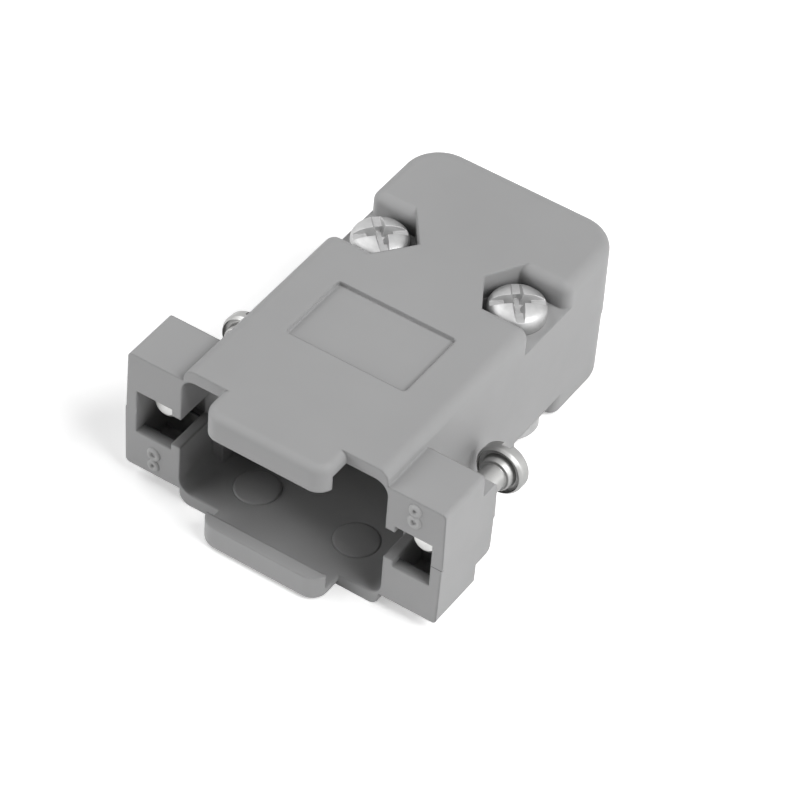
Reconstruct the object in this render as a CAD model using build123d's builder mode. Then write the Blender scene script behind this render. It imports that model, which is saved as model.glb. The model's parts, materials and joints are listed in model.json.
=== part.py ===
from build123d import *
import os
from math import radians, tan

# Two-piece hood for a nine-way D-shaped connector, lying on its lower half.
# X runs across the connector, Y from the mating end towards the cable, Z up.
# The origin is the centre of the connector opening, in the plane of the ear faces,
# where the two halves part. All sizes are in millimetres.

# Connector that the hood takes
screw_pitch = 24.99
flange_height = 12.5
flange_clearance = 0.05
flange_groove = 1.8

# From the axis of each jackscrew to the sides of the ear and the opening
screw_to_ear_side = 2.72
screw_to_opening = 2.675

# Body of each half
body_length = 35.0
body_height = 15.0
side_wall = 1.0
rear_wall = 1.6
rear_corner_radius = 3.5
top_edge_radius = 1.05
body_draft = 0.5
flank_shift = 0.04

# Opening that the connector drops into
opening_depth = 4.6
opening_corner_radius = 1.3

# Ears with the windows for the jackscrews
ear_height = 12.2
ear_depth = 5.5
ear_wall = 1.1
ear_edge_radius = 0.4
ear_draft = 1.0
step_depth = 2.0
step_height = 7.8
step_edge_radius = 0.6

# Windows, and the slots from them into the opening
window_height = 4.48
window_inner_wall = 0.88
window_outer_wall = 1.0
slot_height = 3.18

# Tongues that hold the connector's flange
tongue_width = 11.72
tongue_length = 3.0
tongue_corner_radius = 1.5
tongue_edge_radius = 0.7
lip_depth = 1.43

# Recess for a label, on the flat of each half
label_length = 7.45
label_width = 11.4
label_depth = 0.42
label_corner_radius = 0.35
label_front = 8.26

# Ejector marks inside the opening
ejector_radius = 1.95
ejector_depth = 0.1
ejector_spread = 9.76
ejector_back = 4.0

# Screws and nuts that hold the halves together, and the pockets they sit in
nut_across_flats = 5.5
nut_height = 1.8
nut_clearance = 0.1
fastener_from_flank = 3.08
fastener_from_rear = 11.7
pocket_depth = 2.5
pocket_wall = 1.0
pocket_corner_radius = 0.9
left_pocket_reach = 0.55
post_wall = 1.1
housing_screw_radius = 1.5
housing_hole_clearance = 0.2
housing_screw_bevel = 0.4
housing_screw_length = 12.0
nut_thread_clearance = 0.05
housing_head_radius = 2.52
housing_head_rim = 1.35
housing_head_dome = 0.6
cross_width = 0.72
cross_length = 2.9
cross_depth = 1.35
cross_taper = 12.0
driver_slot_width = 0.75
driver_slot_depth = 0.6
driver_angle = 40.0

# Jackscrews, in the place where they stand pulled back and hang in their bores
jack_travel = 4.8
thread_radius = 1.42
thread_length = 3.1
shoulder_gap = 0.4
tip_back = 1.64
tip_radius = 1.05
tip_bevel = 0.4
shank_radius = 1.15
shoulder_bevel = 0.2
bore_clearance = 0.17
collar_radius = 1.5
collar_length = 0.6
jack_head_radius = 2.2
jack_head_gap = 0.515
jack_head_length = 1.9
jack_head_face_radius = 1.8
jack_head_bevel = 0.45
jack_crown_bevel = 0.35
jack_slot_width = 0.8
jack_slot_depth = 0.9
jack_hang = 5.5

# Cable outlet, and the clamp inside it
outlet_radius = 4.5
outlet_bevel = 0.4
saddle_from_rear = 5.0
saddle_length = 4.0
saddle_thickness = 1.0
saddle_gap = 0.8
saddle_arch_gap = 0.18
saddle_bend_radius = 0.4
saddle_end_gap = 0.3
saddle_bearing = 0.6
saddle_play = 0.3
stop_width = 1.6
stop_length = 0.7
stop_gap = 0.2
clamp_screw_radius = 1.0
clamp_screw_reach = 3.2
clamp_screw_play = 0.15
clamp_screw_bevel = 0.2
clamp_head_radius = 1.75
clamp_head_gap = 0.2
clamp_head_rim = 0.8
clamp_head_dome = 0.5
clamp_slot_width = 0.5
clamp_slot_depth = 0.7

# Lap that keeps the flanks of the two halves in line
lap_thickness = 0.4
lap_height = 0.5
lap_clearance = 0.05
lap_front = 9.0
lap_length = 9.5

# Places worked out from the sizes above
half_height = body_height / 2
body_width = screw_pitch - 2 * (jack_head_radius + jack_head_gap)
opening_width = screw_pitch - 2 * screw_to_opening
ear_width = screw_pitch + 2 * screw_to_ear_side
ear_top = ear_height / 2
roof_inside = flange_height / 2 + flange_clearance
roof = half_height - roof_inside
lip_reach = roof_inside - lip_depth
inner_width = body_width - 2 * side_wall
step_back = ear_depth + step_depth
window_in = opening_width / 2 + window_inner_wall
window_out = ear_width / 2 - ear_top * tan(radians(ear_draft)) / 2 - window_outer_wall
screw_x = screw_pitch / 2
shoulder = tip_back + thread_length
channel_depth = shoulder + shoulder_gap
jack_head_front = step_back + jack_travel
jack_crown = jack_head_front + jack_head_length
bore_middle = (channel_depth + step_back) / 2
fastener_x = body_width / 2 - fastener_from_flank
fastener_back = body_length - fastener_from_rear
pocket_floor = half_height - pocket_depth
pocket_flats = nut_across_flats + 2 * nut_clearance
post_top = pocket_floor - pocket_wall
post_radius = housing_screw_radius + housing_hole_clearance + post_wall
saddle_back = body_length - saddle_from_rear
saddle_face = saddle_gap / 2 + saddle_thickness
saddle_end = inner_width / 2 - saddle_end_gap
ledge_width = saddle_end_gap + saddle_bearing
clamp_screw_x = inner_width / 2 - ledge_width - clamp_head_gap - clamp_head_radius
saddle_outside = clamp_screw_x - clamp_head_radius - saddle_arch_gap

# How far a cutter runs past what it cuts, and how near counts as in place
past = 0.5
near = 0.01

os.makedirs("parts", exist_ok=True)


def drafted_end(inner_x, outer_x, height, angle):
    """Corners of an end view from inner_x out to outer_x, whose outer side leans in."""
    sign = 1 if outer_x > inner_x else -1
    lean = sign * height * tan(radians(angle))
    return [(inner_x, 0), (outer_x, 0), (outer_x - lean, height), (inner_x, height)]


def pocket_outline(side, grow, outside):
    """Half of a hexagon round the fastener, run straight out towards the flank."""
    flats = pocket_flats / 2 + grow
    point = flats / tan(radians(60))
    reach = left_pocket_reach if side < 0 else 0
    return [
        (side * (fastener_x - 2 * point - reach), fastener_back),
        (side * (fastener_x - point), fastener_back - flats),
        (side * outside, fastener_back - flats),
        (side * outside, fastener_back + flats),
        (side * (fastener_x - point), fastener_back + flats),
    ]


def upright(x, y):
    """Plane through an upright axis at x and y, seen from the front."""
    return Plane(origin=(x, y, 0), x_dir=(1, 0, 0), z_dir=(0, -1, 0))


# Upper half of the hood
with BuildPart() as upper_shell:

    # Body with leaning flanks, round rear corners and round top edges
    flank_lean = half_height * tan(radians(body_draft))
    with BuildSketch(Plane.XZ):
        with BuildLine():
            Polyline(
                (flank_shift - body_width / 2, 0),
                (flank_shift + body_width / 2, 0),
                (flank_shift + body_width / 2 - flank_lean, half_height),
                (flank_shift - body_width / 2 + flank_lean, half_height),
                close=True,
            )
        make_face()
    extrude(amount=-body_length)
    rear_sides = upper_shell.faces().sort_by(Axis.Y)[-1].edges().sort_by(Axis.X)
    fillet([rear_sides[0], rear_sides[-1]], rear_corner_radius)
    top_edges = upper_shell.faces().sort_by(Axis.Z)[-1].edges()
    fillet(top_edges.filter_by(lambda edge: edge.center().Y > near), top_edge_radius)

    # Ears, each with a lower step behind it
    for side in (1, -1):
        ear_inside = side * (body_width - side_wall) / 2
        ear_outside = side * ear_width / 2 + flank_shift
        with BuildSketch(Plane.XZ) as ear_end:
            with BuildLine():
                Polyline(*drafted_end(ear_inside, ear_outside, ear_top, ear_draft), close=True)
            make_face()
            upper_corners = ear_end.vertices().group_by(Axis.Y)[-1].sort_by(Axis.X)
            fillet(upper_corners[-1 if side > 0 else 0], ear_edge_radius)
        extrude(amount=-ear_depth)
        with BuildSketch(Plane.XZ.offset(-ear_depth)):
            with BuildLine():
                step_end = drafted_end(ear_inside, ear_outside, step_height / 2, ear_draft)
                Polyline(*step_end, close=True)
            make_face()
        extrude(amount=-step_depth)
    step_edges = upper_shell.edges().filter_by(Axis.X).filter_by(
        lambda edge: abs(edge.center().Y - step_back) < near
        and abs(edge.center().Z - step_height / 2) < near
    )
    fillet(step_edges, step_edge_radius)

    # Tongue over the flange, down to its lip
    with BuildSketch(Plane.XY.offset(lip_reach)) as tongue_plan:
        with Locations((0, -tongue_length / 2)):
            Rectangle(tongue_width, tongue_length)
        fillet(tongue_plan.vertices().group_by(Axis.Y)[0], tongue_corner_radius)
    extrude(amount=half_height - lip_reach)
    tongue_edges = upper_shell.edges().filter_by(
        lambda edge: edge.center().Y < -near and abs(edge.center().Z - half_height) < near
    )
    fillet(tongue_edges, tongue_edge_radius)
    with BuildSketch(Plane.XY.offset(lip_reach - past)):
        with Locations((0, -flange_groove / 2)):
            Rectangle(tongue_width + 2 * past, flange_groove)
    extrude(amount=lip_depth + past, mode=Mode.SUBTRACT)

    # Opening for the connector, then the narrower room behind it
    with BuildSketch(Plane.XZ.offset(past)) as opening_end:
        Rectangle(opening_width, 2 * roof_inside)
        fillet(opening_end.vertices(), opening_corner_radius)
    extrude(amount=-(opening_depth + past), mode=Mode.SUBTRACT)
    with BuildSketch(Plane.XY) as room_plan:
        room_length = body_length - rear_wall - opening_depth + past
        with Locations((0, opening_depth - past + room_length / 2)):
            Rectangle(inner_width, room_length)
        fillet(room_plan.vertices().group_by(Axis.Y)[-1], rear_corner_radius - side_wall)
    extrude(amount=roof_inside, mode=Mode.SUBTRACT)
    with BuildSketch(Plane.XY.offset(roof_inside)):
        with Locations((-ejector_spread / 2, ejector_back), (ejector_spread / 2, ejector_back)):
            Circle(ejector_radius)
    extrude(amount=ejector_depth, mode=Mode.SUBTRACT)

    # Pocket housings and screw posts
    for side in (1, -1):
        with BuildSketch(Plane.XY.offset(post_top)):
            with BuildLine():
                Polyline(*pocket_outline(side, pocket_wall, (body_width - side_wall) / 2), close=True)
            make_face()
        extrude(amount=roof_inside - post_top + roof / 2)
        with BuildSketch(Plane.XY):
            with Locations((side * fastener_x, fastener_back)):
                Circle(post_radius)
        extrude(amount=pocket_floor)

    # Ledges and end stops for the cable clamp, run into the flanks
    for side in (1, -1):
        flank_middle = (body_width - side_wall) / 2
        ledge_inside = inner_width / 2 - ledge_width
        with BuildSketch(Plane.XY.offset(saddle_face)):
            with Locations((side * (ledge_inside + flank_middle) / 2, saddle_back)):
                Rectangle(flank_middle - ledge_inside, saddle_length + 2 * saddle_play)
        extrude(amount=roof_inside - saddle_face)
        stop_inside = inner_width / 2 - stop_width
        stop_x = side * (stop_inside + flank_middle) / 2
        stop_y = (saddle_length + stop_length) / 2 + saddle_play
        with BuildSketch(Plane.XY.offset(stop_gap)):
            with Locations((stop_x, saddle_back - stop_y), (stop_x, saddle_back + stop_y)):
                Rectangle(flank_middle - stop_inside, stop_length)
        extrude(amount=roof_inside - stop_gap)

    # Hexagonal pockets, open to the flanks, and the screw holes below them
    with BuildSketch(Plane.XY.offset(pocket_floor)):
        for side in (1, -1):
            with BuildLine():
                Polyline(*pocket_outline(side, 0, body_width / 2 + past), close=True)
            make_face()
    extrude(amount=half_height - pocket_floor + past, mode=Mode.SUBTRACT)
    pocket_edges = upper_shell.edges().filter_by(
        lambda edge: edge.center().Z > pocket_floor
        and abs(edge.center().X) > inner_width / 2
        and abs(abs(edge.center().Y - fastener_back) - pocket_flats / 2) < near
        and abs(edge.tangent_at(0.5).Z) > 1 - near
    )
    fillet(pocket_edges, pocket_corner_radius)
    with BuildSketch(Plane.XY):
        with Locations((-fastener_x, fastener_back), (fastener_x, fastener_back)):
            Circle(housing_screw_radius + housing_hole_clearance)
    extrude(amount=half_height, mode=Mode.SUBTRACT)

    # Windows, screw channels, slots from them into the opening, and the hollow of each ear
    with BuildSketch(Plane.XZ.offset(past)):
        with Locations((-(window_in + window_out) / 2, 0), ((window_in + window_out) / 2, 0)):
            Rectangle(window_out - window_in, window_height)
    extrude(amount=-(channel_depth + past), mode=Mode.SUBTRACT)
    with BuildSketch(Plane.XZ.offset(past)):
        Rectangle(window_in + window_out, slot_height)
    extrude(amount=-(opening_depth + past), mode=Mode.SUBTRACT)
    with BuildSketch(Plane.XZ.offset(-ear_wall)):
        with Locations((-(window_in + window_out) / 2, 0), ((window_in + window_out) / 2, 0)):
            Rectangle(window_out - window_in, 2 * (ear_top - ear_wall))
    extrude(amount=-(ear_depth - 2 * ear_wall), mode=Mode.SUBTRACT)
    with BuildSketch(Plane.XZ.offset(past - channel_depth)):
        with Locations((-screw_x, 0), (screw_x, 0)):
            Circle(shank_radius + bore_clearance)
    extrude(amount=-(step_back - channel_depth + 2 * past), mode=Mode.SUBTRACT)

    # Round outlet for the cable
    with BuildSketch(Plane.XZ.offset(-body_length - past)):
        Circle(outlet_radius)
    extrude(amount=rear_wall + 2 * past, mode=Mode.SUBTRACT)
    outlet_edge = upper_shell.edges().filter_by(GeomType.CIRCLE).filter_by(
        lambda edge: abs(edge.center().Y - body_length) < near and edge.length > outlet_radius
    )
    chamfer(outlet_edge, outlet_bevel)

    # Label recess in the flat of the top
    with BuildSketch(Plane.XY.offset(half_height - label_depth)) as label_plan:
        with Locations((0, label_front + label_length / 2)):
            Rectangle(label_width, label_length)
        fillet(label_plan.vertices(), label_corner_radius)
    extrude(amount=label_depth + past, mode=Mode.SUBTRACT)

    # Lap under one flank, and the rebate that takes the other half's lap
    lap_middle = lap_front + lap_length / 2
    with BuildSketch(Plane.XY.offset(-lap_height)):
        with Locations(((inner_width + lap_thickness) / 2, lap_middle)):
            Rectangle(lap_thickness, lap_length)
    extrude(amount=lap_height)
    with BuildSketch(Plane.XY):
        with Locations((-inner_width / 2, lap_middle)):
            Rectangle(2 * (lap_thickness + lap_clearance), lap_length + 2 * lap_clearance)
    extrude(amount=lap_height + lap_clearance, mode=Mode.SUBTRACT)

upper_shell.part.label = "upper_shell"
export_step(upper_shell.part, "parts/upper_shell.step")

# The lower half is the same moulding, turned over about the long axis
with BuildPart() as lower_shell:
    add(upper_shell.part.rotate(Axis.Y, 180))
lower_shell.part.label = "lower_shell"
export_step(lower_shell.part, "parts/lower_shell.step")

# Jackscrews: threaded tip, plain shank, collar and slotted round head, hung head down
for side, name in ((1, "right"), (-1, "left")):
    with BuildPart() as jackscrew:
        with BuildSketch(Plane((side * screw_x, 0, 0))):
            with BuildLine():
                Polyline(
                    (0, jack_crown),
                    (0, tip_back),
                    (tip_radius, tip_back),
                    (thread_radius, tip_back + tip_bevel),
                    (thread_radius, shoulder - shoulder_bevel),
                    (shank_radius, shoulder),
                    (shank_radius, jack_head_front - collar_length),
                    (collar_radius, jack_head_front - collar_length),
                    (collar_radius, jack_head_front),
                    (jack_head_face_radius, jack_head_front),
                    (jack_head_radius, jack_head_front + jack_head_bevel),
                    (jack_head_radius, jack_crown - jack_crown_bevel),
                    (jack_head_radius - jack_crown_bevel, jack_crown),
                    close=True,
                )
            make_face()
        revolve(axis=Axis((side * screw_x, 0, 0), (0, 1, 0)))
        with BuildSketch(Plane.XZ.offset(-jack_crown)):
            with Locations((side * screw_x, 0)):
                Rectangle(jack_slot_width, 2 * (jack_head_radius + past))
        extrude(amount=jack_slot_depth, mode=Mode.SUBTRACT)
    bore_tilt = Axis((side * screw_x, bore_middle, 0), (1, 0, 0))
    hung_jackscrew = jackscrew.part.rotate(bore_tilt, -jack_hang)
    hung_jackscrew.label = f"jackscrew_{name}"
    export_step(hung_jackscrew, f"parts/jackscrew_{name}.step")

# Housing screws: pan heads with a cross and a slot, down through both halves into the nuts
for side, name in ((1, "right"), (-1, "left")):
    rim_top = pocket_floor + housing_head_rim
    head_top = rim_top + housing_head_dome
    screw_end = pocket_floor - housing_screw_length
    with BuildPart() as housing_screw:
        with BuildSketch(upright(side * fastener_x, fastener_back)):
            with BuildLine():
                outline = Polyline(
                    (0, head_top),
                    (0, screw_end),
                    (housing_screw_radius - housing_screw_bevel, screw_end),
                    (housing_screw_radius, screw_end + housing_screw_bevel),
                    (housing_screw_radius, pocket_floor),
                    (housing_head_radius, pocket_floor),
                    (housing_head_radius, rim_top),
                )
                TangentArc((0, head_top), outline @ 1, tangent=(1, 0))
            make_face()
        revolve(axis=Axis((side * fastener_x, fastener_back, 0), (0, 0, 1)))
        with BuildSketch(Plane.XY.offset(head_top)):
            with Locations(Location((side * fastener_x, fastener_back), driver_angle)):
                Rectangle(cross_width, cross_length)
                Rectangle(cross_length, cross_width)
        extrude(amount=-cross_depth, taper=cross_taper, mode=Mode.SUBTRACT)
        with BuildSketch(Plane.XY.offset(head_top)):
            with Locations(Location((side * fastener_x, fastener_back), driver_angle)):
                Rectangle(2 * (housing_head_radius + past), driver_slot_width)
        extrude(amount=-driver_slot_depth, mode=Mode.SUBTRACT)
    housing_screw.part.label = f"housing_screw_{name}"
    export_step(housing_screw.part, f"parts/housing_screw_{name}.step")

# Hexagon nuts in the pockets underneath, their corners turned off on both sides
for side, name in ((1, "right"), (-1, "left")):
    nut_base = -pocket_floor - nut_height
    nut_radius = nut_across_flats / 2
    corner_radius = 2 * nut_radius / tan(radians(60))
    corner_drop = (corner_radius - nut_radius) * tan(radians(30))
    with BuildPart() as housing_nut:
        with BuildSketch(Plane.XY.offset(nut_base)):
            with Locations((side * fastener_x, fastener_back)):
                RegularPolygon(corner_radius, 6)
        extrude(amount=nut_height)
        with BuildSketch(upright(side * fastener_x, fastener_back)):
            with BuildLine():
                Polyline(
                    (0, nut_base),
                    (nut_radius, nut_base),
                    (corner_radius, nut_base + corner_drop),
                    (corner_radius, nut_base + nut_height - corner_drop),
                    (nut_radius, nut_base + nut_height),
                    (0, nut_base + nut_height),
                    close=True,
                )
            make_face()
        revolve(axis=Axis((side * fastener_x, fastener_back, 0), (0, 0, 1)), mode=Mode.INTERSECT)
        with BuildSketch(Plane.XY.offset(nut_base)):
            with Locations((side * fastener_x, fastener_back)):
                Circle(housing_screw_radius + nut_thread_clearance)
        extrude(amount=nut_height, mode=Mode.SUBTRACT)
    housing_nut.part.label = f"housing_nut_{name}"
    export_step(housing_nut.part, f"parts/housing_nut_{name}.step")

# Cable clamp: two bent steel saddles, arch outwards, with the gap where the halves part
with BuildPart() as clamp_saddle_upper:
    with BuildSketch(Plane.XZ.offset(saddle_length / 2 - saddle_back)) as saddle_view:
        Circle(saddle_outside)
        with Locations((0, saddle_face - saddle_thickness / 2)):
            Rectangle(2 * saddle_end, saddle_thickness)
        Circle(saddle_outside - saddle_thickness, mode=Mode.SUBTRACT)
        with Locations((0, saddle_gap / 2 - saddle_outside)):
            Rectangle(2 * saddle_outside, 2 * saddle_outside, mode=Mode.SUBTRACT)
        bends = saddle_view.vertices().filter_by(
            lambda corner: abs(corner.Y - saddle_face) < near and abs(corner.X) < saddle_outside
        )
        fillet(bends, saddle_bend_radius)
    extrude(amount=-saddle_length)
    with BuildSketch(Plane.XY):
        with Locations((-clamp_screw_x, saddle_back), (clamp_screw_x, saddle_back)):
            Circle(clamp_screw_radius + clamp_screw_play)
    extrude(amount=half_height, mode=Mode.SUBTRACT)
clamp_saddle_upper.part.label = "clamp_saddle_upper"
export_step(clamp_saddle_upper.part, "parts/clamp_saddle_upper.step")

with BuildPart() as clamp_saddle_lower:
    add(clamp_saddle_upper.part.rotate(Axis.Y, 180))
clamp_saddle_lower.part.label = "clamp_saddle_lower"
export_step(clamp_saddle_lower.part, "parts/clamp_saddle_lower.step")

# Clamp screws: slotted pan heads on the upper saddle
for side, name in ((1, "right"), (-1, "left")):
    rim_top = saddle_face + clamp_head_rim
    head_top = rim_top + clamp_head_dome
    screw_end = -saddle_face - clamp_screw_reach
    with BuildPart() as clamp_screw:
        with BuildSketch(upright(side * clamp_screw_x, saddle_back)):
            with BuildLine():
                outline = Polyline(
                    (0, head_top),
                    (0, screw_end),
                    (clamp_screw_radius - clamp_screw_bevel, screw_end),
                    (clamp_screw_radius, screw_end + clamp_screw_bevel),
                    (clamp_screw_radius, saddle_face),
                    (clamp_head_radius, saddle_face),
                    (clamp_head_radius, rim_top),
                )
                TangentArc((0, head_top), outline @ 1, tangent=(1, 0))
            make_face()
        revolve(axis=Axis((side * clamp_screw_x, saddle_back, 0), (0, 0, 1)))
        with BuildSketch(Plane.XY.offset(head_top)):
            with Locations((side * clamp_screw_x, saddle_back)):
                Rectangle(2 * (clamp_head_radius + past), clamp_slot_width)
        extrude(amount=-clamp_slot_depth, mode=Mode.SUBTRACT)
    clamp_screw.part.label = f"clamp_screw_{name}"
    export_step(clamp_screw.part, f"parts/clamp_screw_{name}.step")
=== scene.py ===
import json
from collections import namedtuple
from math import cos, hypot, pi, radians, sin

import bmesh
import bpy
from mathutils import Matrix, Vector


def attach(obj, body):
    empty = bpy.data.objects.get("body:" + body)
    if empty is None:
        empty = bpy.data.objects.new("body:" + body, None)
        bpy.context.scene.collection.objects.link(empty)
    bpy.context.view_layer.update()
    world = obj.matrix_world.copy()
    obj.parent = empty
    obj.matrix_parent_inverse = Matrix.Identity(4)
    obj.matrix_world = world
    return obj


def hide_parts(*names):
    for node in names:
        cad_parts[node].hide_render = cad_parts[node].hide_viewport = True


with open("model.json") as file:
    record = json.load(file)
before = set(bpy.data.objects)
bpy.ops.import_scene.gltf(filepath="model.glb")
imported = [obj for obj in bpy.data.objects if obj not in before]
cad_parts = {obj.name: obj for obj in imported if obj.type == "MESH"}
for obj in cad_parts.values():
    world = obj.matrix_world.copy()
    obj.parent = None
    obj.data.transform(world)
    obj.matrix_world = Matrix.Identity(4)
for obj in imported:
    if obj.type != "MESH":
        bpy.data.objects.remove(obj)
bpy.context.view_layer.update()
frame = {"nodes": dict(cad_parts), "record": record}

# The model is in metres, and sizes below are written in millimetres.
MM = 0.001

# Where the photograph was taken from: bearing, height above the level, and roll in degrees
VIEW_BEARING = 30.5634
VIEW_HEIGHT = 44.3421
VIEW_ROLL = 4.6169
CAMERA_PLACE = Vector((124.4205, -193.4196, 235.276)) * MM
CAMERA_LENS = 187.47
SENSOR_WIDTH = 36.0
NEAREST_SEEN = 10 * MM
FARTHEST_SEEN = 20000 * MM

# Square soft lamps: the direction each one stands in, and its power in watts
LAMP_DISTANCE = 1000 * MM
LAMP_SIZE = 600 * MM
LAMPS = {
    "right_high": ((0.643, 0, 0.766), 8.1),
    "left_high": ((-0.643, 0, 0.766), 3.3),
    "left_front": ((-0.686, -0.686, 0.242), 4.3),
    "right_rear": ((0.9, 0.364, 0.242), 2.1),
}

# Floor under the hood: it reflects and glows, and glows more where the lamps don't reach
FLOOR_HEIGHT = -7.5 * MM
FLOOR_REACH = 3000 * MM
FLOOR_BOUNCE = 0.95
GLOW_NEAR = 0.4
GLOW_FAR = 1.0
LIT_REACH = 250 * MM
DARK_REACH = 900 * MM

# Jackscrews: distances run along the screw from the plane of the ear faces
SCREW_X = 12.495
BORE_MIDDLE = 6.32
SCREW_HANG = 5.5
THREAD_PITCH = 0.635
THREAD_DEPTH = 0.36
THREAD_RADIUS = 1.42
TIP = 1.64
TIP_HOLLOW = 0.05
TIP_HOLLOW_RADIUS = 0.35
TIP_RADIUS = 1.02
TIP_CHAMFER = 0.4
SHOULDER = 4.74
SHOULDER_CHAMFER = 0.2
SHANK_RADIUS = 1.15
COLLAR_LENGTH = 0.6
COLLAR_CONE_END = 0.1
COLLAR_FRONT_RADIUS = 1.42
COLLAR_RADIUS = 1.55
HEAD_FRONT = 12.3
HEAD_FRONT_RADIUS = 1.98
HEAD_FRONT_BEVEL = 0.32
HEAD_RECESS = 0.35
HEAD_RECESS_RADIUS = 1.94
HEAD_RADIUS = 2.2
CROWN = 13.8
CROWN_BEVEL = 0.3
SLOT_WIDTH = 0.8
SLOT_DEPTH = 0.75

# Housing screws: heights are over the plane where the halves part
FASTENER_X = 6.7
FASTENER_BACK = 23.3
POCKET_FLOOR = 5.0
HOUSING_END = -7.0
HOUSING_RADIUS = 1.5
HOUSING_CHAMFER = 0.4
HOUSING_PITCH = 0.5
HOUSING_THREAD_DEPTH = 0.28
HOUSING_THREAD_START = -4.6
PAN_FOOT_RADIUS = 2.45
PAN_RIM_RADIUS = 2.5
PAN_RIM = 6.35
PAN_CROWN_RADIUS = 1.45
PAN_CROWN_DROP = 0.12
PAN_MIDDLE_DROP = 0.02
PAN_TOP = 6.95

# How far the driver recess of each pan head is turned, in degrees
DRIVER_ANGLES = {"right": 38.0, "left": 44.0}

# Driver recess of a pan head: half length, half width, depth and taper of each kind of cut
DriverCut = namedtuple("DriverCut", "reach half_width depth taper")
PAN_SLOT = DriverCut(reach=3, half_width=0.66, depth=0.6, taper=0.34)
PAN_CROSS = DriverCut(reach=1.4, half_width=0.6, depth=1.0, taper=0.4)
PAN_MIDDLE = DriverCut(reach=0.85, half_width=0.85, depth=0.8, taper=0.5)
CUT_OVERSHOOT = 0.3

# Nuts on the housing screws
NUT_TOP = -5.02
NUT_BOTTOM = -6.8
NUT_FLATS = 2.75
NUT_CORNER = 2.86
NUT_BORE = 1.56
NUT_BORE_CHAMFER = 0.19
NUT_TOP_CHAMFER = 0.12
NUT_BOTTOM_CHAMFER = 0.3
NUT_BOTTOM_INSET = 0.4

# A thread from its first to its last place: pitch, depth of the groove and radius of the crests
Thread = namedtuple("Thread", "first last pitch depth crest")

# Form of the groove as shares of the pitch, and the length over which it runs out, in pitches
THREAD_ROOT = 0.875
THREAD_FLANK = 0.75
THREAD_RUNOUT = 0.6

# Room that a thread leaves at the tip of its screw and at the other end
THREAD_LEAD = 0.02
THREAD_RELIEF = 0.15

# How finely a threaded stretch is divided, and the shortest one that is, in pitches
STATIONS_PER_PITCH = 18
SHORTEST_CUT = 1 / 16

# Turned pieces: steps round each piece and along each fillet, the longest share of a stretch
# that a fillet takes, and the sharpest edge that is shaded smooth
COLUMNS = 72
FILLET_STEPS = 4
LONGEST_FILLET = 0.49
SHARPEST_SMOOTH_ANGLE = 38

# Round marks of the ejector pins on the walls of the opening
EJECTOR_X = 4.88
EJECTOR_Y = 4.0
EJECTOR_RADIUS = 1.99
EJECTOR_DRAFT = 0.03
EJECTOR_WALL = 6.3
EJECTOR_SUNK = 0.02
EJECTOR_RELIEFS = {"right": 0.04, "left": 0.09}

# Raised mark on the ears, a plain figure eight: height, half width and half height of each ring
MARK_X = 12.38
MARK_HEIGHT = 4.42
MARK_RINGS = {"top": (0.62, 0.37, 0.40), "bottom": (-0.58, 0.43, 0.46)}
MARK_POINTS = 16
MARK_STROKE = 0.25
MARK_RELIEF = 0.2

# Dark line of the joint on the right ear's front face, and the share of it that is darkest
JOINT_HALF_WIDTH = 0.07
JOINT_FACE_DEPTH = 0.3
JOINT_DARKEST = 0.35
JOINT_CORE = 0.35

# Half height of the band along the joint that has no painted gap shade and no softened edges
JOINT_PLAIN = 0.3

# Hollows of the moulding as ranges of |x|, y and |z|, with shade painted darker from a shallow to
# a deep y
Hollow = namedtuple("Hollow", "across along height shallow deep darkest")
WINDOW_HOLLOW = Hollow(
    across=(10.7, 14.15),
    along=(-1.0, 4.6),
    height=(-1.0, 2.3),
    shallow=0.3,
    deep=1.15,
    darkest=0.22,
)
OPENING_HOLLOW = Hollow(
    across=(-1.0, 9.1),
    along=(-1.0, 18.5),
    height=(-1.0, 6.45),
    shallow=4.0,
    deep=15.0,
    darkest=0.55,
)

# Plastic: painted shade in its gaps, softened edges, grain, and shine between two roughnesses
PLASTIC_GAP_SHADE_REACH = 2.0
PLASTIC_GAP_SHADE_DARKEST = 0.12
PLASTIC_GAP_SHADE_OPEN = 0.38
PLASTIC_EDGE = 0.3
PLASTIC_GRAIN_DEPTH = 0.012
PLASTIC_ROUGHNESS = (0.50, 0.62)
PLASTIC_SPECULAR = 0.35

# Metal: painted shade in its gaps, softened edges, turning marks, and where the bright tips end
# and the painted shade behind them starts
METAL_GAP_SHADE_REACH = 0.5
METAL_GAP_SHADE_OPEN = 0.5
METAL_EDGE = 0.06
METAL_MARK_DEPTH = 0.006
METAL_ROUGHNESS_SPREAD = 0.12
BRIGHT_UNTIL = 2.4
SHADED_FROM = 3.2

# Where a noise field starts and stops to change a colour or a shine, and a gap counts as closed
NOISE_LOW = 0.3
CLOUD_HIGH = 0.7
SHINE_HIGH = 0.75
GAP_CLOSED = 0.1
BUMP_STRENGTH = 0.35
SHADER_SAMPLES = 8


def grey(level):
    """A grey colour."""
    return (level, level, level)


def new_material(name):
    """A material with an empty node tree and the nodes that every piece's material needs."""
    material = bpy.data.materials.new(name)
    material.use_nodes = True
    tree = material.node_tree
    tree.nodes.clear()
    output = tree.nodes.new("ShaderNodeOutputMaterial")
    shader = tree.nodes.new("ShaderNodeBsdfPrincipled")
    tree.links.new(shader.outputs["BSDF"], output.inputs["Surface"])
    place = tree.nodes.new("ShaderNodeTexCoord").outputs["Object"]
    split = tree.nodes.new("ShaderNodeSeparateXYZ")
    tree.links.new(place, split.inputs["Vector"])
    return material, tree, shader, place, split.outputs


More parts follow.
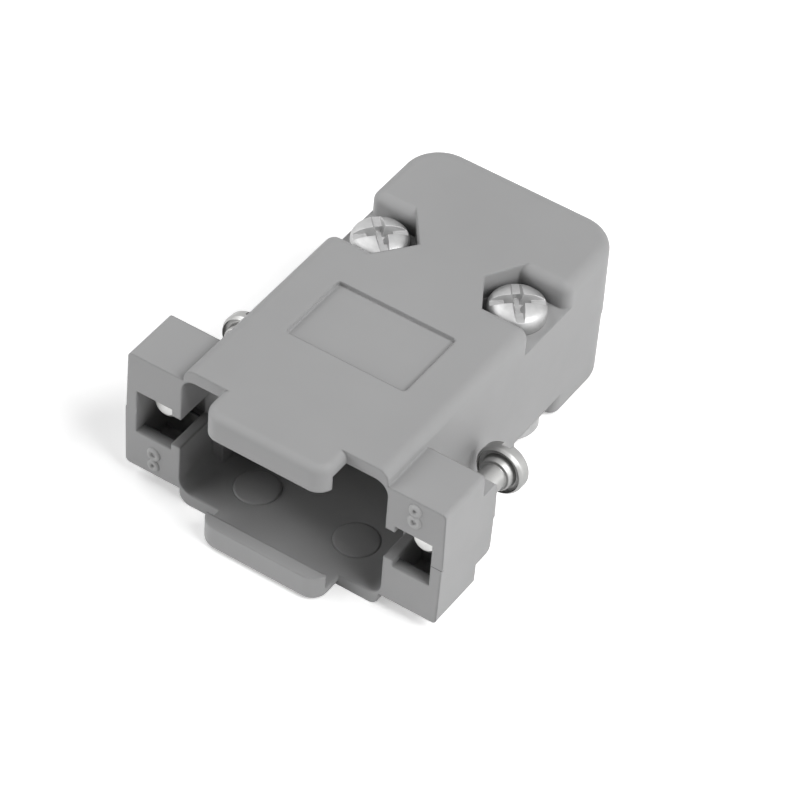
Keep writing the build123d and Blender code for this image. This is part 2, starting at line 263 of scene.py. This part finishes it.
def noise(tree, place, scale, detail, roughness, stretch=None):
    """A noise field over the object's own coordinates."""
    if stretch:
        mapping = tree.nodes.new("ShaderNodeMapping")
        mapping.inputs["Scale"].default_value = stretch
        tree.links.new(place, mapping.inputs["Vector"])
        place = mapping.outputs["Vector"]
    node = tree.nodes.new("ShaderNodeTexNoise")
    node.inputs["Scale"].default_value = scale
    node.inputs["Detail"].default_value = detail
    node.inputs["Roughness"].default_value = roughness
    tree.links.new(place, node.inputs["Vector"])
    return node.outputs["Fac"]


def ramp(tree, value, first, last):
    """Turns a field into a colour that runs between two (place, colour) stops."""
    node = tree.nodes.new("ShaderNodeValToRGB")
    for element, (position, colour) in zip(node.color_ramp.elements, (first, last)):
        element.position = position
        element.color = (*colour, 1)
    tree.links.new(value, node.inputs["Fac"])
    return node.outputs["Color"]


def multiply(tree, first, second):
    """One colour times another."""
    # A mix node's colour sockets are its inputs 6 and 7 and its output 2.
    node = tree.nodes.new("ShaderNodeMix")
    node.data_type = "RGBA"
    node.blend_type = "MULTIPLY"
    node.inputs["Factor"].default_value = 1.0
    tree.links.new(first, node.inputs[6])
    tree.links.new(second, node.inputs[7])
    return node.outputs[2]


def arithmetic(tree, operation, *values):
    """A number worked out from sockets or plain numbers."""
    node = tree.nodes.new("ShaderNodeMath")
    node.operation = operation
    for socket, value in zip(node.inputs, values):
        if isinstance(value, (int, float)):
            socket.default_value = value
        else:
            tree.links.new(value, socket)
    return node.outputs["Value"]


def bump(tree, height, distance, normal):
    """A bump of the given depth in metres, on top of another normal."""
    node = tree.nodes.new("ShaderNodeBump")
    node.inputs["Distance"].default_value = distance
    node.inputs["Strength"].default_value = BUMP_STRENGTH
    tree.links.new(height, node.inputs["Height"])
    tree.links.new(normal, node.inputs["Normal"])
    return node.outputs["Normal"]


def round_edges(tree, radius):
    """A normal that runs round the edges of a moulded or turned piece."""
    node = tree.nodes.new("ShaderNodeBevel")
    node.samples = SHADER_SAMPLES
    if isinstance(radius, float):
        node.inputs["Radius"].default_value = radius
    else:
        tree.links.new(radius, node.inputs["Radius"])
    return node.outputs["Normal"]


def paint_gap_shade(tree, colour, reach, darkest, open_part, unshaded=None):
    """The colour with shade painted into narrow gaps by ambient occlusion, apart from where the
    unshaded field is 1.
    """
    node = tree.nodes.new("ShaderNodeAmbientOcclusion")
    node.samples = SHADER_SAMPLES
    node.inputs["Distance"].default_value = reach
    seen = node.outputs["AO"]
    if unshaded:
        seen = arithmetic(tree, "MAXIMUM", seen, unshaded)
    shade_ramp = ramp(tree, seen, (GAP_CLOSED, grey(darkest)), (open_part, grey(1)))
    return multiply(tree, colour, shade_ramp)


def parting_line(tree, parts):
    """Dark where the halves meet on the front face of the right ear, and white elsewhere."""
    off_line = arithmetic(tree, "ABSOLUTE", parts["Z"])
    clear = arithmetic(tree, "DIVIDE", off_line, JOINT_HALF_WIDTH * MM)
    behind = arithmetic(tree, "DIVIDE", parts["Y"], JOINT_FACE_DEPTH * MM)
    left = arithmetic(tree, "LESS_THAN", parts["X"], 0.0)
    free = arithmetic(tree, "MAXIMUM", arithmetic(tree, "MAXIMUM", clear, behind), left)
    return ramp(tree, free, (JOINT_CORE, grey(JOINT_DARKEST)), (1, grey(1)))


def between(tree, value, limits):
    """1 where a coordinate is between two places in millimetres, 0 elsewhere."""
    above = arithmetic(tree, "GREATER_THAN", value, limits[0] * MM)
    below = arithmetic(tree, "LESS_THAN", value, limits[1] * MM)
    return arithmetic(tree, "MULTIPLY", above, below)


def hollow_painted_shade(tree, parts, hollow):
    """Painted shade: darker with depth inside a hollow of the moulding, and white outside it."""
    across = between(tree, arithmetic(tree, "ABSOLUTE", parts["X"]), hollow.across)
    along = between(tree, parts["Y"], hollow.along)
    height = between(tree, arithmetic(tree, "ABSOLUTE", parts["Z"]), hollow.height)
    inside = arithmetic(tree, "MULTIPLY", arithmetic(tree, "MULTIPLY", across, along), height)
    length = hollow.deep - hollow.shallow
    clear = arithmetic(tree, "MULTIPLY_ADD", parts["Y"], -1 / (length * MM), hollow.deep / length)
    outside = arithmetic(tree, "SUBTRACT", 1.0, inside)
    free = arithmetic(tree, "MAXIMUM", clear, outside)
    return ramp(tree, free, (0, grey(hollow.darkest)), (1, grey(1)))


def grey_plastic(name, dark, light):
    """Matt moulded plastic: a fine even grain, a faint cloudiness, patches of slightly differing
    shine, and shade painted into its gaps and hollows.
    """
    material, tree, shader, place, parts = new_material(name)
    cloud = noise(tree, place, scale=90, detail=3, roughness=0.55)
    colour = ramp(tree, cloud, (NOISE_LOW, dark), (CLOUD_HIGH, light))
    colour = multiply(tree, colour, parting_line(tree, parts))
    # Shade painted into the ears' windows and the opening, darker with depth.
    for hollow in (WINDOW_HOLLOW, OPENING_HOLLOW):
        colour = multiply(tree, colour, hollow_painted_shade(tree, parts, hollow))
    off_line = arithmetic(tree, "ABSOLUTE", parts["Z"])
    joint = arithmetic(tree, "LESS_THAN", off_line, JOINT_PLAIN * MM)
    # Shade painted into narrow gaps by ambient occlusion, but not along the joint.
    reach = PLASTIC_GAP_SHADE_REACH * MM
    colour = paint_gap_shade(tree, colour, reach, PLASTIC_GAP_SHADE_DARKEST, PLASTIC_GAP_SHADE_OPEN, joint)
    tree.links.new(colour, shader.inputs["Base Color"])

    rub = noise(tree, place, scale=260, detail=4, roughness=0.6)
    smooth, rough = PLASTIC_ROUGHNESS
    gloss = ramp(tree, rub, (NOISE_LOW, grey(smooth)), (SHINE_HIGH, grey(rough)))
    tree.links.new(gloss, shader.inputs["Roughness"])
    shader.inputs["Specular IOR Level"].default_value = PLASTIC_SPECULAR

    # The edges along the joint stay sharp, so that the joint doesn't show as a wide band.
    off_joint = arithmetic(tree, "SUBTRACT", 1.0, joint)
    rounded = round_edges(tree, arithmetic(tree, "MULTIPLY", off_joint, PLASTIC_EDGE * MM))
    grain = noise(tree, place, scale=5200, detail=2, roughness=0.5)
    grained = bump(tree, grain, PLASTIC_GRAIN_DEPTH * MM, rounded)
    tree.links.new(grained, shader.inputs["Normal"])
    return material


def bright_metal(name, dark, light, smooth, stretch, gap_shade, shade_behind_tips=1.0):
    """Plated metal with faint turning or rolling marks and shade painted into its gaps, painted
    darker behind the screws' tips by the given share.
    """
    material, tree, shader, place, parts = new_material(name)
    cloud = noise(tree, place, scale=900, detail=3, roughness=0.6)
    colour = ramp(tree, cloud, (NOISE_LOW, dark), (CLOUD_HIGH, light))
    # Painted shade: behind the tips the colour is darker by the given share.
    back = arithmetic(tree, "DIVIDE", parts["Y"], SHADED_FROM * MM)
    tip_shade = ramp(tree, back, (BRIGHT_UNTIL / SHADED_FROM, grey(1)), (1, grey(shade_behind_tips)))
    colour = multiply(tree, colour, tip_shade)
    # Shade painted into the metal's narrow gaps by ambient occlusion.
    colour = paint_gap_shade(tree, colour, METAL_GAP_SHADE_REACH * MM, gap_shade, METAL_GAP_SHADE_OPEN)
    tree.links.new(colour, shader.inputs["Base Color"])
    shader.inputs["Metallic"].default_value = 1.0

    marks = noise(tree, place, scale=1500, detail=2, roughness=0.6, stretch=stretch)
    rough = smooth + METAL_ROUGHNESS_SPREAD
    gloss = ramp(tree, marks, (NOISE_LOW, grey(smooth)), (SHINE_HIGH, grey(rough)))
    tree.links.new(gloss, shader.inputs["Roughness"])
    rounded = round_edges(tree, METAL_EDGE * MM)
    marked = bump(tree, marks, METAL_MARK_DEPTH * MM, rounded)
    tree.links.new(marked, shader.inputs["Normal"])
    return material


plastic = grey_plastic("grey_plastic", dark=(0.352, 0.352, 0.354), light=(0.372, 0.372, 0.374))
# Painted highlight: the raised marks get a lighter copy of the plastic.
highlit_marks = grey_plastic("highlit_mark_plastic", dark=grey(0.39), light=grey(0.45))
nickel = bright_metal(
    "nickel_plate",
    dark=(0.61, 0.61, 0.60),
    light=(0.69, 0.69, 0.68),
    smooth=0.36,
    stretch=(1, 8, 1),
    gap_shade=0.25,
    # Shank and head painted darker than the tips, a painted shade.
    shade_behind_tips=0.60,
)
zinc = bright_metal(
    "zinc_plate",
    dark=grey(0.41),
    light=grey(0.49),
    smooth=0.46,
    stretch=(1, 1, 8),
    gap_shade=0.75,
)
strip = bright_metal(
    "rolled_strip",
    dark=(0.42, 0.42, 0.41),
    light=(0.50, 0.50, 0.49),
    smooth=0.36,
    stretch=(0.6, 9, 9),
    gap_shade=0.4,
)
looks = {"grey_abs": plastic, "nickel_steel": nickel, "zinc_steel": zinc, "clamp_steel": strip}


def dress_solids():
    """Gives every solid of the frame the material of its slot."""
    for subpart in frame["record"]["subparts"]:
        node = frame["nodes"][subpart["node"]]
        node.data.materials.clear()
        node.data.materials.append(looks[subpart["material_slot"]])


def add_object(name, data):
    """An object made of the given data, in the scene."""
    item = bpy.data.objects.new(name, data)
    bpy.context.scene.collection.objects.link(item)
    return item


def add_mesh(name, mesh):
    """An object made of a finished bmesh, in the scene."""
    bmesh.ops.recalc_face_normals(mesh, faces=mesh.faces)
    data = bpy.data.meshes.new(name)
    mesh.to_mesh(data)
    mesh.free()
    return add_object(name, data)


def rounded_profile(corners):
    """Points of a lathe profile whose (distance, radius, fillet) corners are rounded off."""
    points = []
    for index, (along, radius, fillet) in enumerate(corners):
        here = Vector((along, radius))
        if not fillet:
            points.append(here)
            continue
        before = Vector(corners[index - 1][:2]) - here
        after = Vector(corners[index + 1][:2]) - here
        start = here + before.normalized() * min(fillet, before.length * LONGEST_FILLET)
        end = here + after.normalized() * min(fillet, after.length * LONGEST_FILLET)
        for step in range(FILLET_STEPS + 1):
            part = step / FILLET_STEPS
            points.append(start * (1 - part) ** 2 + here * 2 * part * (1 - part) + end * part ** 2)
    return points


def stations_along(profile, thread):
    """Places along a profile, close together where a thread is cut into it."""
    stations = [profile[0]]
    for start, end in zip(profile, profile[1:]):
        parts = 1
        if thread and start.x < thread.last and end.x > thread.first:
            if hypot(end.x - start.x, end.y - start.y) > thread.pitch * SHORTEST_CUT:
                parts = max(1, round((end.x - start.x) * STATIONS_PER_PITCH / thread.pitch))
        stations += [start.lerp(end, part / parts) for part in range(1, parts + 1)]
    return stations


def thread_cut(along, angle, thread):
    """Depth of a screw thread's groove below its crests at one place."""
    phase = (along / thread.pitch - angle / (2 * pi)) % 1.0
    flank = (THREAD_ROOT - abs(2 * phase - 1)) / THREAD_FLANK
    fade = min(1.0, (thread.last - along) / (THREAD_RUNOUT * thread.pitch))
    return thread.depth * min(max(flank, 0.0), 1.0) * fade


def turned(name, corners, place, thread=None, flats=None):
    """A turned piece: its profile round its own axis, with a real thread or six flats on it."""
    mesh = bmesh.new()
    rows = []
    for along, radius in stations_along(rounded_profile(corners), thread):
        if not radius:
            rows.append([mesh.verts.new(place @ Vector((0, along, 0)))])
            continue
        ring = []
        for column in range(COLUMNS):
            angle = 2 * pi * column / COLUMNS
            reach = radius
            if thread and thread.first <= along <= thread.last:
                reach = min(reach, thread.crest - thread_cut(along, angle, thread))
            if flats:
                reach = min(reach, flats / cos(angle % (pi / 3) - pi / 6))
            spot = Vector((reach * cos(angle), along, reach * sin(angle)))
            ring.append(mesh.verts.new(place @ spot))
        rows.append(ring)
    # A profile that doesn't start on the axis closes on itself.
    if len(rows[0]) > 1:
        rows.append(rows[0])
    for lower, upper in zip(rows, rows[1:]):
        for column in range(COLUMNS):
            after = (column + 1) % COLUMNS
            corners_here = [lower[column % len(lower)], lower[after % len(lower)]]
            corners_here += [upper[after % len(upper)], upper[column % len(upper)]]
            unique = list(dict.fromkeys(corners_here))
            if len(unique) > 2:
                mesh.faces.new(unique)
    return add_mesh(name, mesh)


def block(name, low, high, place, taper=0.0):
    """A box between two corners, its lower face smaller by the taper on each side."""
    mesh = bmesh.new()
    corners = []
    for height, inset in ((low[2], taper), (high[2], 0.0)):
        left, right = low[0] + inset, high[0] - inset
        front, back = low[1] + inset, high[1] - inset
        for spot in ((left, front), (right, front), (right, back), (left, back)):
            corners.append(mesh.verts.new(place @ Vector((*spot, height))))
    mesh.faces.new(corners[:4])
    mesh.faces.new(corners[4:])
    for side in range(4):
        after = (side + 1) % 4
        mesh.faces.new([corners[side], corners[after], corners[after + 4], corners[side + 4]])
    return add_mesh(name, mesh)


def driver_block(name, cut, place, turned_over=False):
    """The block that cuts one slot of a driver recess into a pan head."""
    reach, half_width = cut.reach, cut.half_width
    if turned_over:
        reach, half_width = half_width, reach
    low = (-reach, -half_width, PAN_TOP - cut.depth)
    high = (reach, half_width, PAN_TOP + CUT_OVERSHOOT)
    return block(name, low, high, place, cut.taper)


def cut_away(piece, cutters):
    """Cuts the given blocks out of a piece and deletes them."""
    for cutter in cutters:
        modifier = piece.modifiers.new("cut", "BOOLEAN")
        modifier.operation = "DIFFERENCE"
        modifier.solver = "EXACT"
        modifier.object = cutter
    graph = bpy.context.evaluated_depsgraph_get()
    data = bpy.data.meshes.new_from_object(piece.evaluated_get(graph))
    piece.modifiers.clear()
    piece.data = data
    for cutter in cutters:
        bpy.data.objects.remove(cutter)


def finish_piece(piece, material, body, replaced=None):
    """Smooths a piece by the angle between its faces, and hands it to the frame."""
    data = piece.data
    data.materials.clear()
    data.materials.append(material)
    data.polygons.foreach_set("use_smooth", [True] * len(data.polygons))
    data.set_sharp_from_angle(angle=radians(SHARPEST_SMOOTH_ANGLE))
    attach(piece, body)
    if replaced:
        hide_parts(replaced)


def make_jackscrews():
    """Both jackscrews, hung head down in their bores, with their threads and slotted heads."""
    corners = [
        (TIP + TIP_HOLLOW, 0.0, 0.0),
        (TIP, TIP_HOLLOW_RADIUS, 0.03),
        (TIP, TIP_RADIUS, 0.06),
        (TIP + TIP_CHAMFER, THREAD_RADIUS, 0.05),
        (SHOULDER - SHOULDER_CHAMFER, THREAD_RADIUS, 0.04),
        (SHOULDER, SHANK_RADIUS, 0.04),
        (HEAD_FRONT - COLLAR_LENGTH, SHANK_RADIUS, 0.05),
        (HEAD_FRONT - COLLAR_LENGTH, COLLAR_FRONT_RADIUS, 0.1),
        (HEAD_FRONT - COLLAR_CONE_END, COLLAR_RADIUS, 0.1),
        (HEAD_FRONT + HEAD_RECESS, COLLAR_RADIUS, 0.06),
        (HEAD_FRONT + HEAD_RECESS, HEAD_RECESS_RADIUS, 0.06),
        (HEAD_FRONT, HEAD_FRONT_RADIUS, 0.06),
        (HEAD_FRONT + HEAD_FRONT_BEVEL, HEAD_RADIUS, 0.1),
        (CROWN - CROWN_BEVEL, HEAD_RADIUS, 0.12),
        (CROWN, HEAD_RADIUS - CROWN_BEVEL, 0.12),
        (CROWN, 0.0, 0.0),
    ]
    first = TIP + THREAD_LEAD
    last = SHOULDER - THREAD_RELIEF
    thread = Thread(first, last, THREAD_PITCH, THREAD_DEPTH, THREAD_RADIUS)
    pivot = Vector((0, BORE_MIDDLE, 0))
    hang = Matrix.Rotation(radians(-SCREW_HANG), 4, "X")
    for side, name in ((1, "right"), (-1, "left")):
        place = Matrix.Scale(MM, 4) @ Matrix.Translation((side * SCREW_X, 0, 0))
        place = place @ Matrix.Translation(pivot) @ hang @ Matrix.Translation(-pivot)
        piece = turned(f"threaded_jackscrew_{name}", corners, place, thread)
        low = (-SLOT_WIDTH / 2, CROWN - SLOT_DEPTH, -HEAD_RADIUS - CUT_OVERSHOOT)
        high = (SLOT_WIDTH / 2, CROWN + CUT_OVERSHOOT, HEAD_RADIUS + CUT_OVERSHOOT)
        cut_away(piece, [block("slot", low, high, place)])
        finish_piece(piece, nickel, f"{name}_jackscrew", f"jackscrew_{name}")


def make_housing_screws():
    """Pan heads with a cross and a slot, threads down into the nuts, and the nuts."""
    screw_corners = [
        (HOUSING_END, 0.0, 0.0),
        (HOUSING_END, HOUSING_RADIUS - HOUSING_CHAMFER, 0.05),
        (HOUSING_END + HOUSING_CHAMFER, HOUSING_RADIUS, 0.05),
        (POCKET_FLOOR, HOUSING_RADIUS, 0.0),
        (POCKET_FLOOR, PAN_FOOT_RADIUS, 0.08),
        (PAN_RIM, PAN_RIM_RADIUS, 0.5),
        (PAN_TOP - PAN_CROWN_DROP, PAN_CROWN_RADIUS, 0.6),
        (PAN_TOP - PAN_MIDDLE_DROP, 0.0, 0.0),
    ]
    nut_corners = [
        (NUT_TOP, NUT_BORE, 0.0),
        (NUT_TOP, NUT_CORNER - NUT_TOP_CHAMFER, 0.0),
        (NUT_TOP - NUT_TOP_CHAMFER, NUT_CORNER, 0.0),
        (NUT_BOTTOM + NUT_BOTTOM_CHAMFER, NUT_CORNER, 0.15),
        (NUT_BOTTOM, NUT_CORNER - NUT_BOTTOM_INSET, 0.1),
        (NUT_BOTTOM, NUT_BORE + NUT_BORE_CHAMFER, 0.0),
        (NUT_BOTTOM + NUT_BORE_CHAMFER, NUT_BORE, 0.0),
    ]
    first = HOUSING_END + THREAD_LEAD
    depth = HOUSING_THREAD_DEPTH
    thread = Thread(first, HOUSING_THREAD_START, HOUSING_PITCH, depth, HOUSING_RADIUS)
    upright = Matrix.Rotation(radians(90), 4, "X")
    for side, name in ((1, "right"), (-1, "left")):
        middle = Matrix.Scale(MM, 4) @ Matrix.Translation((side * FASTENER_X, FASTENER_BACK, 0))
        screw = turned(f"pan_screw_{name}", screw_corners, middle @ upright, thread)
        turn = middle @ Matrix.Rotation(radians(DRIVER_ANGLES[name]), 4, "Z")
        diagonal = turn @ Matrix.Rotation(radians(45), 4, "Z")
        cutters = [
            driver_block("slot_a", PAN_SLOT, turn),
            driver_block("slot_b", PAN_SLOT, turn, turned_over=True),
            driver_block("cross_a", PAN_CROSS, turn),
            driver_block("cross_b", PAN_CROSS, turn, turned_over=True),
            driver_block("middle", PAN_MIDDLE, diagonal),
        ]
        cut_away(screw, cutters)
        finish_piece(screw, zinc, "hood", f"housing_screw_{name}")
        nut = turned(f"rounded_nut_{name}", nut_corners, middle @ upright, flats=NUT_FLATS)
        finish_piece(nut, zinc, "hood", f"housing_nut_{name}")


def make_ejector_marks():
    """Low round steps that the ejector pins leave, two on the inside of each half."""
    upright = Matrix.Rotation(radians(90), 4, "X")
    foot = -EJECTOR_WALL - EJECTOR_SUNK
    for half, turn in (("lower", 0), ("upper", 180)):
        for side, name in ((1, "right"), (-1, "left")):
            face = -EJECTOR_WALL + EJECTOR_RELIEFS[name]
            corners = [
                (foot, 0.0, 0.0),
                (foot, EJECTOR_RADIUS, 0.0),
                (face, EJECTOR_RADIUS - EJECTOR_DRAFT, 0.05),
                (face, 0.0, 0.0),
            ]
            place = Matrix.Scale(MM, 4) @ Matrix.Rotation(radians(turn), 4, "Y")
            place = place @ Matrix.Translation((side * EJECTOR_X, EJECTOR_Y, 0)) @ upright
            piece = turned(f"ejector_mark_{half}_{name}", corners, place)
            finish_piece(piece, plastic, "hood")


def ring_mesh(name, rise, across, tall):
    """A round bead along an upright ellipse, as a mesh."""
    curve = bpy.data.curves.new(name, "CURVE")
    curve.dimensions = "3D"
    curve.bevel_depth = MARK_STROKE * MM
    curve.bevel_resolution = 3
    spline = curve.splines.new("NURBS")
    spline.points.add(MARK_POINTS - 1)
    for index, point in enumerate(spline.points):
        angle = 2 * pi * index / MARK_POINTS
        point.co = (across * cos(angle) * MM, 0, (rise + tall * sin(angle)) * MM, 1)
    spline.use_cyclic_u = True
    spline.order_u = 3
    holder = add_object(name, curve)
    graph = bpy.context.evaluated_depsgraph_get()
    data = bpy.data.meshes.new_from_object(holder.evaluated_get(graph))
    bpy.data.objects.remove(holder)
    return data


def make_marks():
    """A raised figure eight on one ear of each half, turned over with its half."""
    sunk = Matrix.Translation(Vector((MARK_X, MARK_STROKE - MARK_RELIEF, MARK_HEIGHT)) * MM)
    for half, turn in (("upper", 0), ("lower", 180)):
        for ring, (rise, across, tall) in MARK_RINGS.items():
            data = ring_mesh(f"mark_{half}_{ring}", rise, across, tall)
            data.transform(Matrix.Rotation(radians(turn), 4, "Y") @ sunk)
            piece = add_object(f"raised_mark_{half}_{ring}", data)
            # The marks take the lighter copy of the plastic, a painted highlight.
            finish_piece(piece, highlit_marks, "hood")


def seen_rays(tree):
    """1 for a ray from the camera or through a glossy or clear surface, 0 for any other."""
    rays = tree.nodes.new("ShaderNodeLightPath").outputs
    direct = arithmetic(tree, "MAXIMUM", rays["Is Camera Ray"], rays["Is Glossy Ray"])
    return arithmetic(tree, "MAXIMUM", direct, rays["Is Transmission Ray"])


def mix_by_seen(tree, unseen, seen, output):
    """Shows one shader to the rays that end in the picture, and another to the rest."""
    mix = tree.nodes.new("ShaderNodeMixShader")
    tree.links.new(seen_rays(tree), mix.inputs["Fac"])
    tree.links.new(unseen, mix.inputs[1])
    tree.links.new(seen, mix.inputs[2])
    tree.links.new(mix.outputs["Shader"], output.inputs["Surface"])


def make_floor():
    """A pale floor that shows white and keeps the hood's soft shadow."""
    bpy.ops.mesh.primitive_plane_add(size=2 * FLOOR_REACH, location=(0, 0, FLOOR_HEIGHT))
    floor = bpy.context.object
    floor.name = "floor"
    material = bpy.data.materials.new("floor")
    material.use_nodes = True
    tree = material.node_tree
    tree.nodes.clear()
    output = tree.nodes.new("ShaderNodeOutputMaterial")
    white = tree.nodes.new("ShaderNodeBsdfDiffuse")
    white.inputs["Color"].default_value = (*grey(1), 1)

    place = tree.nodes.new("ShaderNodeTexCoord")
    away = tree.nodes.new("ShaderNodeVectorMath")
    away.operation = "LENGTH"
    tree.links.new(place.outputs["Object"], away.inputs[0])
    near = (LIT_REACH, grey(GLOW_NEAR))
    far = (DARK_REACH, grey(GLOW_FAR))
    glow = tree.nodes.new("ShaderNodeEmission")
    glow.inputs["Strength"].default_value = 1.0
    tree.links.new(ramp(tree, away.outputs["Value"], near, far), glow.inputs["Color"])
    seen = tree.nodes.new("ShaderNodeAddShader")
    tree.links.new(white.outputs["BSDF"], seen.inputs[0])
    tree.links.new(glow.outputs["Emission"], seen.inputs[1])

    unseen = tree.nodes.new("ShaderNodeBsdfDiffuse")
    unseen.inputs["Color"].default_value = (*grey(FLOOR_BOUNCE), 1)
    mix_by_seen(tree, unseen.outputs["BSDF"], seen.outputs["Shader"], output)
    floor.data.materials.append(material)


def make_world():
    """A surrounding that shows white and gives no light."""
    world = bpy.data.worlds.new("studio")
    bpy.context.scene.world = world
    world.use_nodes = True
    tree = world.node_tree
    tree.nodes.clear()
    output = tree.nodes.new("ShaderNodeOutputWorld")
    seen = tree.nodes.new("ShaderNodeBackground")
    seen.inputs["Color"].default_value = (*grey(1), 1)
    seen.inputs["Strength"].default_value = 1.0
    unseen = tree.nodes.new("ShaderNodeBackground")
    unseen.inputs["Strength"].default_value = 0.0
    mix_by_seen(tree, unseen.outputs["Background"], seen.outputs["Background"], output)


def make_lamps():
    """The square soft lamps, each turned towards the hood."""
    for name, (direction, power) in LAMPS.items():
        lamp = bpy.data.lights.new(name, "AREA")
        lamp.shape = "SQUARE"
        lamp.size = LAMP_SIZE
        lamp.energy = power
        holder = add_object(name, lamp)
        holder.location = Vector(direction).normalized() * LAMP_DISTANCE
        holder.rotation_euler = holder.location.to_track_quat("Z", "Y").to_euler()


def make_camera():
    """The camera, at the photograph's viewing angle."""
    bearing = radians(VIEW_BEARING)
    height = radians(VIEW_HEIGHT)
    roll = radians(VIEW_ROLL)
    back = Vector((sin(bearing) * cos(height), -cos(bearing) * cos(height), sin(height)))
    right = Vector((cos(bearing), sin(bearing), 0))
    up = back.cross(right)
    across = right * cos(roll) + up * sin(roll)
    upwards = up * cos(roll) - right * sin(roll)
    data = bpy.data.cameras.new("camera")
    data.lens = CAMERA_LENS
    data.sensor_width = SENSOR_WIDTH
    data.clip_start = NEAREST_SEEN
    data.clip_end = FARTHEST_SEEN
    camera = add_object("camera", data)
    turn = Matrix((across, upwards, back)).transposed().to_4x4()
    camera.matrix_world = Matrix.Translation(CAMERA_PLACE) @ turn
    bpy.context.scene.camera = camera


dress_solids()
make_jackscrews()
make_housing_screws()
make_ejector_marks()
make_marks()
make_floor()
make_world()
make_lamps()
make_camera()

bpy.context.scene.view_settings.view_transform = "Standard"
